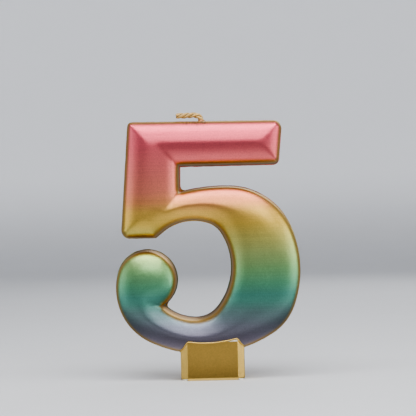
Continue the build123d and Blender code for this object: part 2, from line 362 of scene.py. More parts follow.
def wobble(p, scale, seed):
    """Slow unevenness of the casting, about -1 to 1."""
    r = np.random.default_rng(seed)
    total = np.zeros(len(p))
    for _ in range(6):
        a, ph = r.uniform(0, 2 * math.pi, 2)
        f = r.uniform(0.6, 1.4) * 2 * math.pi / scale
        total += np.sin(f * (p[:, 0] * math.cos(a) + p[:, 1] * math.sin(a)) + ph)
    return total / 6


# ---- mesh helpers -----------------------------------------------------------
def to_world(p, h):
    """Outline points at a depth, in metres in the candle's frame."""
    return np.stack((p[:, 0], BACK_Y - h, p[:, 1]), 1) * MM


def new_piece(name, verts, faces, material, smooth=True):
    """A mesh object with its normals facing out."""
    mesh = bpy.data.meshes.new(name)
    mesh.from_pydata([tuple(map(float, v)) for v in verts], [], [tuple(map(int, f)) for f in faces])
    mesh.validate()
    piece = bpy.data.objects.new(name, mesh)
    bpy.context.scene.collection.objects.link(piece)
    mesh.materials.append(material)
    bm = bmesh.new()
    bm.from_mesh(mesh)
    bmesh.ops.recalc_face_normals(bm, faces=bm.faces)
    bm.to_mesh(mesh)
    bm.free()
    for poly in mesh.polygons:
        poly.use_smooth = smooth
    return piece


def filled(ring, spacing, margin):
    """Triangles filling a ring, with a grid of points inside it."""
    lo, hi = ring.min(0), ring.max(0)
    xs = np.arange(lo[0], hi[0], spacing)
    zs = np.arange(lo[1], hi[1], spacing * 0.866)
    gx, gz = np.meshgrid(xs, zs)
    gx = gx + (np.arange(len(zs)) % 2)[:, None] * spacing / 2
    p = np.stack((gx.ravel(), gz.ravel()), 1)
    p = p[inside(p, ring)]
    p = p[distance_to_ring(p, ring) > margin]
    n = len(ring)
    every = np.concatenate((ring, p))
    made = delaunay_2d_cdt([Vector(v) for v in every], [], [list(range(n))], 1, 1e-6)
    verts = np.array([tuple(v) for v in made[0]])
    return verts, made[2], made[3]


# ---- materials ---------------------------------------------------------------
def node_kit(name):
    """A new material, its shader, and short ways to add and link its nodes."""
    material = bpy.data.materials.new(name)
    material.use_nodes = True
    tree = material.node_tree
    shader = tree.nodes["Principled BSDF"]

    def add(kind, **values):
        node = tree.nodes.new(kind)
        for key, value in values.items():
            if key in node.inputs:
                node.inputs[key].default_value = value
            else:
                setattr(node, key, value)
        return node

    def link(a, b):
        tree.links.new(a, b)
    return material, shader, add, link


def ramp_stops(node, stops):
    """Give a colour ramp its (position, colour) stops."""
    ramp = node.color_ramp
    ramp.interpolation = "LINEAR"
    while len(ramp.elements) > 1:
        ramp.elements.remove(ramp.elements[0])
    ramp.elements[0].position = stops[0][0]
    ramp.elements[0].color = (*stops[0][1], 1)
    for at, colour in stops[1:]:
        e = ramp.elements.new(at)
        e.color = (*colour, 1)


def math_node(add, link, op, a, b=None, c=None, clamp=False):
    """One sum on sockets or numbers."""
    node = add("ShaderNodeMath", operation=op, use_clamp=clamp)
    for i, v in enumerate((a, b, c)):
        if v is None:
            continue
        if isinstance(v, (int, float)):
            node.inputs[i].default_value = v
        else:
            link(v, node.inputs[i])
    return node.outputs[0]


def mix(add, link, factor, a, b, blend="MIX"):
    """Two colours mixed, each a socket or a tuple."""
    node = add("ShaderNodeMix", data_type="RGBA", blend_type=blend)
    for socket, v in ((node.inputs[0], factor), (node.inputs[6], a), (node.inputs[7], b)):
        if isinstance(v, (int, float)):
            socket.default_value = v
        elif isinstance(v, tuple):
            socket.default_value = (*v, 1)
        else:
            link(v, socket)
    return node.outputs[2]


GOLD = (0.74, 0.48, 0.13)
# painted shade: the darker gold painted onto the side walls towards the back, for the shade the walls sit
# in
GOLD_WALL_SHADE = (0.34, 0.155, 0.03)

# height in mm as the outline is written, and the metal's colour there
SPRAY = ((8, (0.27, 0.22, 0.26)), (15, (0.21, 0.195, 0.255)), (19, (0.20, 0.22, 0.27)),
         (23.5, (0.17, 0.285, 0.285)), (27, (0.13, 0.37, 0.30)), (29, (0.115, 0.36, 0.285)),
         (32.5, (0.16, 0.46, 0.27)), (37, (0.26, 0.52, 0.23)), (42, (0.43, 0.56, 0.22)),
         (47, (0.60, 0.57, 0.18)), (52, (0.76, 0.54, 0.12)), (56, (0.82, 0.52, 0.135)),
         (59, (0.84, 0.36, 0.16)), (63, (0.86, 0.28, 0.20)), (70, (0.85, 0.225, 0.21)),
         (78, (0.85, 0.165, 0.205)), (86, (0.86, 0.16, 0.22)))


def lacquer_material():
    """Gold metallic lacquer with the rainbow sprayed on from the front, and painted shade darkening the
    gold side walls towards the back.
    """
    material, shader, add, link = node_kit("rainbow_lacquer")
    where = add("ShaderNodeTexCoord")
    split = add("ShaderNodeSeparateXYZ")
    link(where.outputs["Object"], split.inputs[0])
    facing = add("ShaderNodeSeparateXYZ")
    link(where.outputs["Normal"], facing.inputs[0])

    drift = add("ShaderNodeTexNoise", Scale=45.0, Detail=2.0)
    link(where.outputs["Object"], drift.inputs["Vector"])
    shift = math_node(add, link, "MULTIPLY_ADD", drift.outputs["Fac"], 0.0028, -0.0014)
    level = math_node(add, link, "ADD", split.outputs["Z"], shift)
    level = math_node(add, link, "SUBTRACT", level, DROP * MM)
    level = math_node(add, link, "DIVIDE", level, 0.09, clamp=True)
    spray = add("ShaderNodeValToRGB")
    ramp_stops(spray, [(z / 90, c) for z, c in SPRAY])
    link(level, spray.inputs[0])

    speck = add("ShaderNodeTexNoise", Scale=2600.0, Detail=1.0)
    link(where.outputs["Object"], speck.inputs["Vector"])
    flake = add("ShaderNodeTexVoronoi", Scale=3600.0)
    link(where.outputs["Object"], flake.inputs["Vector"])
    glint = math_node(add, link, "MULTIPLY_ADD", speck.outputs["Fac"], 0.34, 0.83)

    front = math_node(add, link, "MULTIPLY", facing.outputs["Y"], -1.0)
    patchy = math_node(add, link, "MULTIPLY_ADD", speck.outputs["Fac"], 0.16, -0.08)
    front = math_node(add, link, "ADD", front, patchy)
    cover = add("ShaderNodeMapRange", interpolation_type="SMOOTHSTEP")
    cover.inputs["From Min"].default_value = 0.34
    cover.inputs["From Max"].default_value = 0.80
    link(front, cover.inputs["Value"])

    # Painted shade: the side walls, not the flat back face, darken to the shaded gold the nearer they
    # reach to the back.
    deep = add("ShaderNodeMapRange", interpolation_type="SMOOTHSTEP")
    deep.inputs["From Min"].default_value = -0.0045
    deep.inputs["From Max"].default_value = 0.0055
    link(split.outputs["Y"], deep.inputs["Value"])
    rear = add("ShaderNodeMapRange", interpolation_type="SMOOTHSTEP")
    rear.inputs["From Min"].default_value = 0.80
    rear.inputs["From Max"].default_value = 0.97
    link(facing.outputs["Y"], rear.inputs["Value"])
    wall_shade = math_node(add, link, "SUBTRACT", 1.0, rear.outputs["Result"])
    wall_shade = math_node(add, link, "MULTIPLY", wall_shade, deep.outputs["Result"])
    gold = mix(add, link, wall_shade, GOLD, GOLD_WALL_SHADE)
    pour = add("ShaderNodeTexNoise", Scale=110.0, Detail=5.0, Distortion=1.2)
    link(where.outputs["Object"], pour.inputs["Vector"])
    cloudy = math_node(add, link, "MULTIPLY_ADD", pour.outputs["Fac"], 0.9, 0.55)
    flat_gold = mix(add, link, 1.0, (0.78, 0.53, 0.17), cloudy, "MULTIPLY")
    gold = mix(add, link, rear.outputs["Result"], gold, flat_gold)
    colour = mix(add, link, cover.outputs["Result"], gold, spray.outputs["Color"])
    colour = mix(add, link, 1.0, colour, glint, "MULTIPLY")

    comb = add("ShaderNodeMapping")
    comb.inputs["Scale"].default_value = (30.0, 30.0, 3400.0)
    link(where.outputs["Object"], comb.inputs["Vector"])
    hair = add("ShaderNodeTexNoise", Scale=1.0, Detail=3.0)
    link(comb.outputs["Vector"], hair.inputs["Vector"])
    hairline = math_node(add, link, "MULTIPLY_ADD", hair.outputs["Fac"], 0.24, 0.88)
    colour = mix(add, link, 1.0, colour, hairline, "MULTIPLY")

    across = math_node(add, link, "SUBTRACT", split.outputs["X"], (BEND_X - 1.5) * MM)
    across = math_node(add, link, "ABSOLUTE", across)
    near_wick = add("ShaderNodeMapRange", interpolation_type="SMOOTHSTEP")
    near_wick.inputs["From Min"].default_value = 0.0055
    near_wick.inputs["From Max"].default_value = 0.0015
    link(across, near_wick.inputs["Value"])
    high = add("ShaderNodeMapRange", interpolation_type="SMOOTHSTEP")
    high.inputs["From Min"].default_value = (82.6 + DROP) * MM
    high.inputs["From Max"].default_value = (84.8 + DROP) * MM
    link(split.outputs["Z"], high.inputs["Value"])
    run = add("ShaderNodeMapping")
    run.inputs["Scale"].default_value = (2600.0, 300.0, 160.0)
    link(where.outputs["Object"], run.inputs["Vector"])
    dribble = add("ShaderNodeTexNoise", Scale=1.0, Detail=2.0)
    link(run.outputs["Vector"], dribble.inputs["Vector"])
    streak = add("ShaderNodeMapRange", interpolation_type="SMOOTHSTEP")
    streak.inputs["From Min"].default_value = 0.46
    streak.inputs["From Max"].default_value = 0.60
    link(dribble.outputs["Fac"], streak.inputs["Value"])
    stain = math_node(add, link, "MULTIPLY", near_wick.outputs["Result"], high.outputs["Result"])
    stain = math_node(add, link, "MULTIPLY", stain, streak.outputs["Result"])
    stain = math_node(add, link, "MULTIPLY", stain, 0.75)
    colour = mix(add, link, stain, colour, (0.30, 0.12, 0.06))
    link(colour, shader.inputs["Base Color"])

    patch = add("ShaderNodeTexNoise", Scale=320.0, Detail=4.0)
    link(where.outputs["Object"], patch.inputs["Vector"])
    rough = math_node(add, link, "MULTIPLY_ADD", patch.outputs["Fac"], 0.10, 0.33)
    rough = math_node(add, link, "MULTIPLY_ADD", flake.outputs["Distance"], 0.08, rough)
    link(rough, shader.inputs["Roughness"])
    shader.inputs["Metallic"].default_value = 1.0
    shader.inputs["Coat Weight"].default_value = 0.25
    shader.inputs["Coat Roughness"].default_value = 0.22

    grain = add("ShaderNodeBump", Strength=0.16, Distance=0.00012)
    link(flake.outputs["Color"], grain.inputs["Height"])
    orange = add("ShaderNodeTexNoise", Scale=700.0, Detail=3.0)
    link(where.outputs["Object"], orange.inputs["Vector"])
    skin = add("ShaderNodeBump", Strength=0.10, Distance=0.0004)
    link(orange.outputs["Fac"], skin.inputs["Height"])
    link(grain.outputs["Normal"], skin.inputs["Normal"])
    sink = math_node(add, link, "MULTIPLY", pour.outputs["Fac"], rear.outputs["Result"])
    ripple = add("ShaderNodeBump", Strength=0.55, Distance=0.0012)
    link(sink, ripple.inputs["Height"])
    link(skin.outputs["Normal"], ripple.inputs["Normal"])
    link(ripple.outputs["Normal"], shader.inputs["Normal"])
    return material


def gold_material(name, colour, low, high, rough_low, rough_span):
    """Satin gold lacquer with flake and slow patches."""
    material, shader, add, link = node_kit(name)
    where = add("ShaderNodeTexCoord")
    speck = add("ShaderNodeTexNoise", Scale=2400.0, Detail=1.0)
    link(where.outputs["Object"], speck.inputs["Vector"])
    patch = add("ShaderNodeTexNoise", Scale=240.0, Detail=4.0)
    link(where.outputs["Object"], patch.inputs["Vector"])
    tone = math_node(add, link, "MULTIPLY_ADD", speck.outputs["Fac"], high - low, low)
    shade = mix(add, link, patch.outputs["Fac"], colour, tuple(c * 0.86 for c in colour))
    link(mix(add, link, 1.0, shade, tone, "MULTIPLY"), shader.inputs["Base Color"])
    link(math_node(add, link, "MULTIPLY_ADD", patch.outputs["Fac"], rough_span, rough_low),
         shader.inputs["Roughness"])
    shader.inputs["Metallic"].default_value = 1.0
    shader.inputs["Coat Weight"].default_value = 0.2
    shader.inputs["Coat Roughness"].default_value = 0.25
    flake = add("ShaderNodeTexVoronoi", Scale=3400.0)
    link(where.outputs["Object"], flake.inputs["Vector"])
    grain = add("ShaderNodeBump", Strength=0.2, Distance=0.00012)
    link(flake.outputs["Color"], grain.inputs["Height"])
    hammered = add("ShaderNodeTexNoise", Scale=900.0, Detail=5.0)
    link(where.outputs["Object"], hammered.inputs["Vector"])
    skin = add("ShaderNodeBump", Strength=0.18, Distance=0.0004)
    link(hammered.outputs["Fac"], skin.inputs["Height"])
    link(grain.outputs["Normal"], skin.inputs["Normal"])
    link(skin.outputs["Normal"], shader.inputs["Normal"])
    return material


def wax_material():
    """Bare paraffin under the foot: cloudy, with tiny pits."""
    material, shader, add, link = node_kit("bare_wax")
    where = add("ShaderNodeTexCoord")
    cloud = add("ShaderNodeTexNoise", Scale=260.0, Detail=5.0)
    link(where.outputs["Object"], cloud.inputs["Vector"])
    link(mix(add, link, cloud.outputs["Fac"], (0.80, 0.74, 0.60), (0.90, 0.87, 0.78)),
         shader.inputs["Base Color"])
    link(math_node(add, link, "MULTIPLY_ADD", cloud.outputs["Fac"], 0.2, 0.4),
         shader.inputs["Roughness"])
    shader.inputs["Subsurface Weight"].default_value = 0.3
    shader.inputs["Subsurface Radius"].default_value = (0.003, 0.002, 0.0012)
    pits = add("ShaderNodeTexVoronoi", Scale=900.0)
    link(where.outputs["Object"], pits.inputs["Vector"])
    bump = add("ShaderNodeBump", Strength=0.25, Distance=0.0002)
    link(pits.outputs["Distance"], bump.inputs["Height"])
    link(bump.outputs["Normal"], shader.inputs["Normal"])
    return material


def wick_material():
    """Gold-coated cotton: fibres run along each ply, u across it and v along it; the grooves between plies
    carry painted shade.
    """
    material, shader, add, link = node_kit("gold_cotton")
    stretch = add("ShaderNodeMapping")
    stretch.inputs["Scale"].default_value = (26.0, 2.4, 1.0)
    along = add("ShaderNodeUVMap", uv_map="along")
    link(along.outputs["UV"], stretch.inputs["Vector"])
    openness = add("ShaderNodeUVMap", uv_map="openness")
    outer = add("ShaderNodeSeparateXYZ")
    link(openness.outputs["UV"], outer.inputs[0])
    fibre = add("ShaderNodeTexNoise", Scale=1.0, Detail=3.0)
    link(stretch.outputs["Vector"], fibre.inputs["Vector"])
    tone = add("ShaderNodeValToRGB")
    ramp_stops(tone, [(0.30, (0.42, 0.23, 0.06)), (0.50, (0.72, 0.47, 0.17)),
                      (0.70, (0.95, 0.74, 0.38))])
    link(fibre.outputs["Fac"], tone.inputs[0])
    # Painted shade: each ply darkens towards the wick's axis, into the grooves between the plies.
    groove_shade = add("ShaderNodeMapRange", interpolation_type="SMOOTHSTEP")
    groove_shade.inputs["From Min"].default_value = 0.45
    groove_shade.inputs["From Max"].default_value = 0.92
    groove_shade.inputs["To Min"].default_value = 0.10
    link(outer.outputs["X"], groove_shade.inputs["Value"])
    link(mix(add, link, 1.0, tone.outputs["Color"], groove_shade.outputs["Result"], "MULTIPLY"),
         shader.inputs["Base Color"])
    link(math_node(add, link, "MULTIPLY_ADD", fibre.outputs["Fac"], -0.2, 0.58),
         shader.inputs["Roughness"])
    shader.inputs["Metallic"].default_value = 0.3
    shader.inputs["Sheen Weight"].default_value = 0.25
    bump = add("ShaderNodeBump", Strength=0.7, Distance=0.0002)
    link(fibre.outputs["Fac"], bump.inputs["Height"])
    link(bump.outputs["Normal"], shader.inputs["Normal"])
    return material


LACQUER = lacquer_material()
FOOT_GOLD = gold_material("foot_gold", GOLD, 0.86, 1.12, 0.27, 0.14)
# painted highlight: a brighter gold for the foot's slanted chamfers and the rim bead, for the light they
# catch
HIGHLIGHT_GOLD = gold_material("painted_highlight_gold", (0.98, 0.69, 0.21), 0.9, 1.1, 0.34, 0.16)
WAX = wax_material()
COTTON = wick_material()
# painted shade: the flash webs in the sharp inner corners get a darker gold than the lacquer, for the
# shade there
SHADED_FLASH_GOLD = gold_material("flash_gold_painted_shade", (0.55, 0.31, 0.07), 0.8, 1.2, 0.3, 0.2)
SEAL_ROSE = gold_material("seal_lacquer", (0.72, 0.36, 0.22), 0.8, 1.2, 0.3, 0.2)


# ---- the digit ----------------------------------------------------------------
def edge_section():
    """(inset, depth) of each ring from the back edge round the lip, wall and shoulder."""
    rings = [(0.55, 0.02), (0.16, 0.0), (0.03, 0.05), (0.0, 0.16), (0.0, 0.52), (0.05, 0.66),
             (0.17, 0.72), (0.25, 0.78), (0.30, 1.0)]
    for h in (2.6, 4.4, 6.2, 7.6):
        rings.append((LIP_W + (h - LIP_H) / (WALL[1] - LIP_H) * (WALL[0] - LIP_W), h))
    first = math.atan2(WALL[1] - SHOULDER_C[1], WALL[0] - SHOULDER_C[0])
    last = math.atan2(STRIP[1] - SHOULDER_C[1], STRIP[0] - SHOULDER_C[0])
    for t in np.linspace(0, 1, 14):
        a = first + (last - first) * t
        d = SHOULDER_C[0] + SHOULDER_R * math.cos(a)
        if d > 1.84:
            break
        rings.append((d, SHOULDER_C[1] + SHOULDER_R * math.sin(a)))
    return rings


def join_cap(origin, n, ring_start, offset):
    """Which points of a filled ring are new, and every point's place in the whole mesh."""
    index = {}
    for i, source in enumerate(origin):
        on_ring = [s for s in source if s < n]
        index[i] = ring_start + on_ring[0] if on_ring else None
    keep = [i for i in range(len(origin)) if index[i] is None]
    for new, i in enumerate(keep):
        index[i] = offset + new
    return keep, index


def make_digit():
    """The whole coat of the digit as one closed mesh: edge rings, crowned front, sunk back."""
    n = len(RING)
    verts, faces = [], []
    rings = edge_section()
    ragged = 0.05 * wobble(RING, 5.0, 3) + 0.03 * wobble(RING, 1.7, 4)
    for k, (d, h) in enumerate(rings):
        rag = ragged if 1 < k < 7 else 0.0 * ragged
        inset = d - rag + 0.04 * (k > 1) * (k < 7)
        verts.append(to_world(RING + INTO * inset[:, None], np.full(n, h)))
    for k in range(len(rings) - 1):
        for i in range(n):
            j = (i + 1) % n
            faces.append((k * n + i, k * n + j, (k + 1) * n + j, (k + 1) * n + i))
    offset = len(rings) * n

    last = RING + INTO * rings[-1][0]
    flat, tri, origin = filled(last, 0.46, 0.22)
    d = distance_to_ring(flat, RING)
    exact, soft = depth(flat), soft_depth(flat)
    w = np.clip((d - 2.0) / 1.0, 0, 1)
    h = exact * (1 - w) + soft * w + 0.03 * wobble(flat, 17.0, 8) * np.clip((d - 2) / 2, 0, 1)
    keep, index = join_cap(origin, n, (len(rings) - 1) * n, offset)
    verts.append(to_world(flat[keep], h[keep]))
    faces += [[index[i] for i in t] for t in tri]
    offset += len(keep)

    first = RING + INTO * rings[0][0]
    flat, tri, origin = filled(first, 1.5, 0.7)
    d = distance_to_ring(flat, RING)
    sunk = 0.02 + 0.22 * np.clip((d - 1.0) / 5.0, 0, 1) ** 1.5
    sunk = sunk + 0.03 * wobble(flat, 12.0, 9) * np.clip(d - 1, 0, 1)
    keep, index = join_cap(origin, n, 0, offset)
    verts.append(to_world(flat[keep], sunk[keep]))
    faces += [[index[i] for i in t][::-1] for t in tri]
    return new_piece("digit_skin", np.concatenate(verts), faces, LACQUER)


digit = make_digit()
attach(digit, "candle")
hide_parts("lacquer_film", "digit_wax")


# ---- the foot -------------------------------------------------------------------
def make_foot():
    """Lacquered block, chamfered in front, open underneath."""
    x, y0, y1, top = HALF_FOOT, -BACK_Y, BACK_Y, 12.4
    c, b = FOOT_CHAMFER, FOOT_BASE_CHAMFER
    corner = FOOT_CORNER_R
    points = []
    for s in (-1, 1):
        for a in np.linspace(0, math.pi / 2, 5):
            cx = s * (x - corner + corner * math.sin(a))
            cz = corner - corner * math.cos(a)
            points.append((cx, y1, cz))
            points.append((cx, y0 + c, cz) if cz > b or abs(cx) > x - c
                          else (cx, y0 + b - cz, cz))
        points += [(s * x, y1, top), (s * x, y0 + c, top), (s * (x - c), y0, top),
                   (s * (x - c), y0, b), (s * (x - c), y0 + b, 0)]
    bm = bmesh.new()
    for p in points:
        bm.verts.new(Vector(p) * MM)
    bmesh.ops.convex_hull(bm, input=bm.verts)
    bmesh.ops.dissolve_limit(bm, angle_limit=math.radians(1), verts=bm.verts, edges=bm.edges)
    under = [f for f in bm.faces if f.normal.z < -0.99 or f.normal.z > 0.99]
    bmesh.ops.delete(bm, geom=under, context="FACES_ONLY")
    bmesh.ops.recalc_face_normals(bm, faces=bm.faces)
    mesh = bpy.data.meshes.new("foot_skin")
    bm.to_mesh(mesh)
    bm.free()
    piece = bpy.data.objects.new("foot_skin", mesh)
    bpy.context.scene.collection.objects.link(piece)
    mesh.materials.append(FOOT_GOLD)
    mesh.materials.append(HIGHLIGHT_GOLD)
    # painted highlight: the slanted chamfers take the brighter gold
    for poly in mesh.polygons:
        if poly.normal.y < -0.2 and poly.normal.y > -0.95:
            poly.material_index = 1
    soften = piece.modifiers.new("soft_edges", "BEVEL")
    soften.width = 0.22 * MM
    soften.segments = 3
    soften.angle_limit = math.radians(25)
    soften.harden_normals = False
    skin = piece.modifiers.new("thickness", "SOLIDIFY")
    skin.thickness = 0.11 * MM
    skin.offset = -1
    for poly in mesh.polygons:
        poly.use_smooth = True
    weighted = piece.modifiers.new("shading", "WEIGHTED_NORMAL")
    weighted.keep_sharp = True
    return piece


foot = make_foot()
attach(foot, "candle")
frame["nodes"]["foot_wax"].data.materials.clear()
frame["nodes"]["foot_wax"].data.materials.append(WAX)


# ---- tubes along a path -----------------------------------------------------------
def frames_along(path):
    """Unit tangent and two cross directions at each point of a path."""
    t = np.gradient(path, axis=0)
    t /= np.linalg.norm(t, axis=1)[:, None]
    side = np.cross(t[0], (0.0, 1.0, 0.0))
    sides = []
    for v in t:
        side = side - v * np.dot(side, v)
        side = side / np.linalg.norm(side)
        sides.append(side.copy())
    sides = np.array(sides)
    return t, sides, np.cross(t, sides)


def tube(path, radii, around):
    """Closed tube: verts, faces and (around, along, openness) of each vertex."""
    t, a, b = frames_along(path)
    length = np.concatenate(([0], np.cumsum(np.linalg.norm(np.diff(path, axis=0), axis=1))))
    verts, uvs = [], []
    for i, p in enumerate(path):
        for k in range(around):
            w = 2 * math.pi * k / around
            verts.append(p + radii[i] * (math.cos(w) * a[i] + math.sin(w) * b[i]))
            uvs.append((k / around, length[i], 1.0))
    faces = []
    for i in range(len(path) - 1):
        for k in range(around):
            m = (k + 1) % around
            faces.append((i * around + k, i * around + m, (i + 1) * around + m, (i + 1) * around + k))
    faces.append(tuple(range(around))[::-1])
    faces.append(tuple((len(path) - 1) * around + k for k in range(around)))
    return verts, faces, uvs


def join_tubes(name, tubes, material):
    """Several tubes as one piece, with what the wick's material reads as UV maps."""
    verts, faces, uvs = [], [], []
    for v, f, u in tubes:
        faces += [tuple(i + len(verts) for i in face) for face in f]
        verts += [p * MM for p in v]
        uvs += u
    piece = new_piece(name, verts, faces, material)
    along = piece.data.uv_layers.new(name="along")
    for loop in piece.data.loops:
        along.data[loop.index].uv = uvs[loop.vertex_index][:2]
    openness = piece.data.uv_layers.new(name="openness")
    for loop in piece.data.loops:
        openness.data[loop.index].uv = (uvs[loop.vertex_index][2], 0.5)
    return piece


# ---- raised line where the foot meets the belly -------------------------------------
def belly_height(x, h):
    """Height above the table at which the belly's front is h deep, at a given x."""
    z = np.linspace(6.5, 14.0, 400)
    d = depth(np.stack((np.full_like(z, x), z), 1))
    over = np.where(d >= h)[0]
    return z[over[0]] if len(over) else z[-1]


def make_rim():
    """Bead of lacquer along the line where the foot's front meets the belly, in the brighter gold of a
    painted highlight.
    """
    front = BACK_Y - FOOT_FRONT
    path = []
    for h in np.linspace(9.0, front - FOOT_CHAMFER, 5)[:-1]:
        path.append((-HALF_FOOT, h))
    for t in np.linspace(0, 1, 8)[:-1]:
        path.append((-HALF_FOOT + t * FOOT_CHAMFER, front - FOOT_CHAMFER + t * FOOT_CHAMFER))
    half = HALF_FOOT - FOOT_CHAMFER
    for x in np.linspace(-half, half, 40):
        path.append((x, front))
    path += [(-x, h) for x, h in path[:11][::-1]]
    points = np.array([(x, BACK_Y - h, belly_height(x, h)) for x, h in path])
    for _ in range(2):
        points[1:-1] = (points[:-2] + 2 * points[1:-1] + points[2:]) / 4
    points[:, 1] -= 0.06
    radii = 0.23 + 0.03 * np.sin(np.linspace(0, 31, len(points)))
    radii[0] = radii[-1] = 0.05
    return join_tubes("foot_rim", [tube(points, radii, 10)], HIGHLIGHT_GOLD)


rim = make_rim()
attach(rim, "candle")


# ---- flash webs in the two sharp inner corners ----------------------------------------
def make_web(name, corner, arm_a, arm_b, reach):
    """Thin curved web of wax the mould leaves across a sharp inner corner, at the back, in a darker gold
    that paints the corner's shade.
    """
    a = corner + arm_a * reach
    b = corner + arm_b * reach
    t = np.linspace(0, 1, 12)[:, None]
    pull = corner + (arm_a + arm_b) * reach * 0.16
    curve = (1 - t) ** 2 * a + 2 * t * (1 - t) * pull + t ** 2 * b
    inner = corner - (arm_a + arm_b) * 0.5
    verts, faces = [], []
    for h in (0.06, 0.5):
        verts += [tuple(v) for v in to_world(np.concatenate((curve, [inner])), np.full(13, h))]
    for i in range(11):
        faces.append((i, i + 1, 12))
        faces.append((13 + i + 1, 13 + i, 25))
        faces.append((i + 1, i, 13 + i, 13 + i + 1))
    faces += [(0, 12, 25, 13), (12, 11, 24, 25)]
    return new_piece(name, verts, faces, SHADED_FLASH_GOLD, smooth=False)


down = (SADDLE - INNER) / np.hypot(*(SADDLE - INNER))
webs = [make_web("flash_web_stem", SADDLE, -down, np.array((0.972, 0.233)), 1.5)]
ray = CUSP - BALL[0]
ball_way = np.array((-ray[1], ray[0])) / np.hypot(*ray)
ray = CUSP - COUNTER[-1][0]
counter_way = np.array((-ray[1], ray[0])) / np.hypot(*ray)
webs.append(make_web("flash_web_cusp", CUSP, ball_way, counter_way, 1.5))
for web in webs:
    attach(web, "candle")


# ---- the wick -------------------------------------------------------------------------
PLY_LAY = 6.2            # length of one full turn of a ply


def smooth_path(points, step):
    """Catmull-Rom line through a few points, evenly stepped."""
    p = np.array([2 * np.array(points[0]) - points[1], *points, 2 * np.array(points[-1]) - points[-2]])
    fine = []
    for i in range(1, len(p) - 2):
        for t in np.linspace(0, 1, 40, endpoint=False):
            fine.append(0.5 * (2 * p[i] + (p[i + 1] - p[i - 1]) * t
                               + (2 * p[i - 1] - 5 * p[i] + 4 * p[i + 1] - p[i + 2]) * t ** 2
                               + (3 * p[i] - p[i - 1] - 3 * p[i + 1] + p[i + 2]) * t ** 3))
    fine.append(p[-2])
    fine = np.array(fine)
    run = np.concatenate(([0], np.cumsum(np.linalg.norm(np.diff(fine, axis=0), axis=1))))
    even = np.linspace(0, run[-1], int(run[-1] / step) + 1)
    return np.stack([np.interp(even, run, fine[:, k]) for k in range(3)], 1), even


def make_wick():
    """Three plies twisted together along one bent path, with fibres at the cut end."""
    y = BEND_Y
    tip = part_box("wick_free_end")[0].x / MM
    route = [(BEND_X + 0.5, y, BEND_Z - 3.5),
             (BEND_X + 0.35, y, BEND_Z - 1.9),
             (BEND_X - 0.15, y, BEND_Z - 0.8),
             (BEND_X - 1.15, y, BEND_Z - 0.07),
             (BEND_X - 3.2, y - 0.05, BEND_Z + 0.04),
             (BEND_X - 5.6, y + 0.05, BEND_Z - 0.07),
             (tip + 0.1, y, BEND_Z)]
    path, run = smooth_path(route, 0.16)
    _, a, b = frames_along(path)
    tubes = []
    for ply in range(3):
        w = 2 * math.pi * (ply / 3 - run / PLY_LAY)
        stop = len(path) - (0, 2, 1)[ply]
        loose = np.clip((run - run[-1] + 1.0) / 1.0, 0, 1) ** 2
        r = 0.47 + 0.14 * loose
        centre = path + (r * np.cos(w))[:, None] * a + (r * np.sin(w))[:, None] * b
        thick = (0.47 + 0.02 * np.sin(run * 3.1 + ply)) * (1 - 0.25 * loose)
        verts, faces, uvs = tube(centre[:stop], thick[:stop], 12)
        uvs = [(u, v, min(1.0, np.linalg.norm(p - path[i // 12]) / (r[i // 12] + thick[i // 12])))
               for i, (p, (u, v, _)) in enumerate(zip(verts, uvs))]
        tubes.append((verts, faces, uvs))
    end = path[-1]
    for k in range(16):
        w = rng.uniform(0, 2 * math.pi)
        q = rng.uniform(0.1, 0.75)
        start = end + np.array((0.5, q * math.cos(w), q * math.sin(w)))
        along = np.array((-rng.uniform(0.45, 0.75), 0.22 * math.cos(w), 0.22 * math.sin(w)))
        pts = np.array([start + along * t + np.array((0, 0, -0.05 * t * t)) for t in np.linspace(0, 1, 5)])
        pts[:, 0] = np.maximum(pts[:, 0], tip - 0.1)
        tubes.append(tube(pts, np.linspace(0.07, 0.025, 5), 5))
    return join_tubes("wick_plies", tubes, COTTON)


wick = make_wick()
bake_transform(wick)
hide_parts("wick_root", "wick_free_end")


# ---- wax bead round the wick ------------------------------------------------------------
def make_seal():
    """Lumpy bead of lacquered wax where the wick comes out."""
    lo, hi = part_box("wick_seal")
    base = lo.z / MM + 0.05
    cx, cy = BEND_X + 0.3, BEND_Y
    rings = [(1.55, -0.35), (1.42, 0.0), (1.22, 0.14), (1.08, 0.28), (0.98, 0.44),
             (0.86, 0.48), (0.7, 0.3)]
    verts, faces, around = [], [], 28
    for r, z in rings:
        for k in range(around):
            w = 2 * math.pi * k / around
            lump = 1 + 0.10 * math.sin(3 * w + 1) + 0.06 * math.sin(7 * w)
            verts.append(np.array((cx + r * lump * math.cos(w), cy + 0.92 * r * lump * math.sin(w),
                                   base + z * (1 + 0.15 * math.sin(2 * w)))) * MM)
    for i in range(len(rings) - 1):
        for k in range(around):
            m = (k + 1) % around
            faces.append((i * around + k, i * around + m, (i + 1) * around + m, (i + 1) * around + k))
    faces.append(tuple(range(around))[::-1])
    faces.append(tuple((len(rings) - 1) * around + k for k in range(around)))
    return new_piece("wick_bead", verts, faces, SEAL_ROSE)


seal = make_seal()
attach(seal, "candle")
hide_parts("wick_seal")


# ---- floor, light and camera --------------------------------------------------------------
SWEEP_FLAT, SWEEP_CURVE, SWEEP_TOP = 0.85, 0.35, 1.20
# painted light: how strongly the backdrop glows
WALL_GLOW = 0.28


